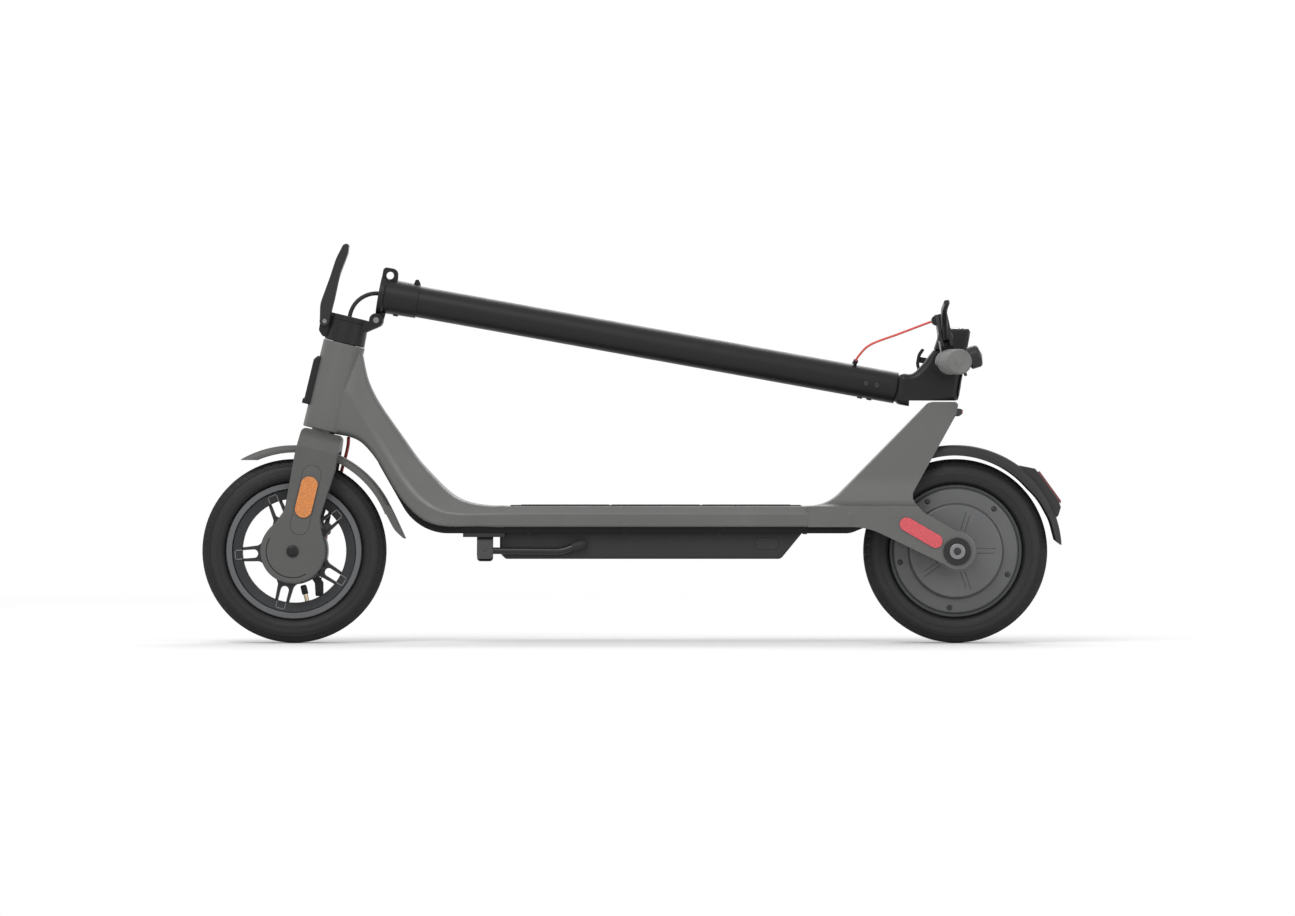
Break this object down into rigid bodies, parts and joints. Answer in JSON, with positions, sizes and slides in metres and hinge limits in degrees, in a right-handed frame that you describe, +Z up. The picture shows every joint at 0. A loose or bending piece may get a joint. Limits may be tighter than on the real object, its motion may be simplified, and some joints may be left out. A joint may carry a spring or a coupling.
{
  "type": "electric kick scooter",
  "caption": "Folding electric kick scooter, stored folded, with a hub motor, drum brake, battery deck, lights and bell.",
  "frame": {"origin": "on the ground, under the middle of the folded scooter's box", "axes": "+X from the front wheel to the rear wheel, +Y to the rider's right, +Z up"},
  "size_m": [1.178, 0.491, 0.5474],
  "materials": {
    "frame_paint": "satin dark grey powder coat on alloy",
    "stem_paint": "satin near-black powder coat on alloy",
    "black_plastic": "fine-textured black plastic",
    "cover_grey": "satin grey plastic that matches the fork",
    "guard_grey": "fine-textured grey plastic",
    "guard_dark": "fine-textured charcoal plastic",
    "case_plastic": "textured charcoal plastic",
    "black_metal": "satin black paint",
    "mat_rubber": "ribbed black rubber",
    "grip_rubber": "soft grey rubber",
    "tyre_rubber": "black tyre rubber",
    "rim_metal": "satin grey cast alloy",
    "motor_metal": "satin grey cast cover",
    "steel": "plated steel",
    "screws": "black oxide steel",
    "valve_brass": "nickelled brass",
    "motor_core": "varnished laminations and windings",
    "cell_wrap": "blue shrink wrap",
    "box_metal": "bare alloy",
    "orange_lens": "prismatic orange reflector",
    "red_lens": "prismatic red reflector",
    "tail_lens": "dark red lens",
    "red_plastic": "red plastic",
    "red_cable": "red cable jacket",
    "wire_black": "black wiring sleeve",
    "lamp_glass": "clear lens",
    "display": "gloss black display panel",
    "button_red": "red button"
  },
  "bodies": {
    "frame": {"main_frame": "frame_paint", "deck_mat": "mat_rubber", "bottom_plate": "black_plastic", "battery_case": "case_plastic", "battery_pack": "cell_wrap", "controller_box": "box_metal", "head_trim": "black_plastic", "headset_bearings": "steel", "rear_mudguard": "guard_dark", "tail_light_lens": "tail_lens", "rear_axle": "steel", "rear_washers": "black_metal", "motor_stator": "motor_core", "rear_reflectors": "red_lens", "plate_screws": "screws", "kickstand_bracket": "black_metal"},
    "port_cover": {"port_cover": "mat_rubber"},
    "catch_button": {"catch_button": "red_plastic"},
    "kickstand": {"kickstand_leg": "black_metal"},
    "rear_wheel": {"rear_tyre": "tyre_rubber", "rear_rim": "black_metal", "motor_covers": "motor_metal", "cover_screws": "screws", "magnet_ring": "motor_core", "motor_bearings": "steel"},
    "fork": {"fork": "frame_paint", "steerer_tube": "steel", "fork_side_covers": "cover_grey", "front_reflectors": "orange_lens", "front_axle": "steel", "front_axle_caps": "black_plastic", "front_mudguard": "guard_grey", "brake_drum_plate": "motor_metal", "brake_cable_lower": "red_cable", "hinge_collar": "stem_paint", "hinge_pins": "steel", "harness_loop": "wire_black"},
    "front_wheel": {"front_tyre": "tyre_rubber", "front_rim": "rim_metal", "front_hub_bearings": "steel", "front_valve": "valve_brass"},
    "brake_arm": {"brake_arm": "steel"},
    "fold_lever": {"fold_lever": "black_metal"},
    "stem": {"stem_flange": "stem_paint", "stem_tube": "stem_paint", "stem_screws": "screws", "stem_head": "stem_paint", "headlight_housing": "black_plastic", "headlight_lens": "lamp_glass", "dash_panel": "display", "handlebar": "stem_paint", "grips": "grip_rubber", "brake_clamp": "black_metal", "brake_cable_upper": "red_cable", "throttle_housing": "black_plastic", "bell": "black_metal"},
    "brake_lever": {"brake_lever": "black_metal"},
    "throttle_paddle": {"throttle_paddle": "black_plastic"},
    "bell_lever": {"bell_lever": "black_metal"},
    "power_button": {"power_button": "button_red"}
  },
  "joints": [
    {"name": "steering", "type": "hinge", "parent": "frame", "child": "fork", "pos_m": [-0.463, 0, 0.126], "axis": [0.2334, 0, 0.9724], "range_deg": [-45, 45], "deforming": ["brake_cable_lower"]},
    {"name": "front_wheel_spin", "type": "hinge", "parent": "fork", "child": "front_wheel", "pos_m": [-0.463, 0, 0.126], "axis": [0, 1, 0], "continuous": true},
    {"name": "rear_wheel_spin", "type": "hinge", "parent": "frame", "child": "rear_wheel", "pos_m": [0.444, 0, 0.126], "axis": [0, 1, 0], "continuous": true},
    {"name": "stem_fold", "type": "hinge", "parent": "fork", "child": "stem", "pos_m": [-0.35056, 0, 0.44229], "axis": [0, -1, 0], "range_deg": [0, 86.7], "deforming": ["harness_loop"]},
    {"name": "fold_lever_swing", "type": "hinge", "parent": "fork", "child": "fold_lever", "pos_m": [-0.42132, 0, 0.44097], "axis": [0, -1, 0], "range_deg": [0, 100]},
    {"name": "brake_lever_pull", "type": "hinge", "parent": "stem", "child": "brake_lever", "pos_m": [0.42545, -0.11567, 0.41745], "axis": [0.9856, 0.0642, 0.1561], "range_deg": [0, 18], "stiffness_Nm_per_rad": 0.8, "springref_deg": -17.19},
    {"name": "brake_arm_turn", "type": "hinge", "parent": "fork", "child": "brake_arm", "pos_m": [-0.4495, 0.038, 0.1026], "axis": [0, -1, 0], "range_deg": [0, 12]},
    {"name": "throttle_press", "type": "hinge", "parent": "stem", "child": "throttle_paddle", "pos_m": [0.42945, 0.09595, 0.3841], "axis": [0.0669, 0.9977, -0.0121], "range_deg": [0, 25], "stiffness_Nm_per_rad": 0.15, "springref_deg": -17.19},
    {"name": "bell_strike", "type": "hinge", "parent": "stem", "child": "bell_lever", "pos_m": [0.44716, -0.08882, 0.38982], "axis": [0.9529, 0.0603, 0.2971], "range_deg": [0, 20], "stiffness_Nm_per_rad": 0.05, "springref_deg": -17.19},
    {"name": "power_press", "type": "slide", "parent": "stem", "child": "power_button", "axis": [-0.9841, 0, 0.1778], "range_m": [0, 0.0012], "stiffness_N_per_m": 400, "springref_m": -0.002},
    {"name": "kickstand_swing", "type": "hinge", "parent": "frame", "child": "kickstand", "pos_m": [-0.2, -0.068, 0.127], "axis": [0, 0.9527, -0.304], "range_deg": [0, 116]},
    {"name": "port_cover_open", "type": "hinge", "parent": "frame", "child": "port_cover", "pos_m": [0.1848, -0.0621, 0.1444], "axis": [-1, 0, 0], "range_deg": [0, 110]},
    {"name": "catch_press", "type": "slide", "parent": "frame", "child": "catch_button", "axis": [-1, 0, 0], "range_m": [0, 0.0025], "stiffness_N_per_m": 1500, "springref_m": -0.002}
  ],
  "couplings": [
    {"joint": "brake_arm_turn", "follows": "brake_lever_pull", "ratio": 0.6666}
  ]
}
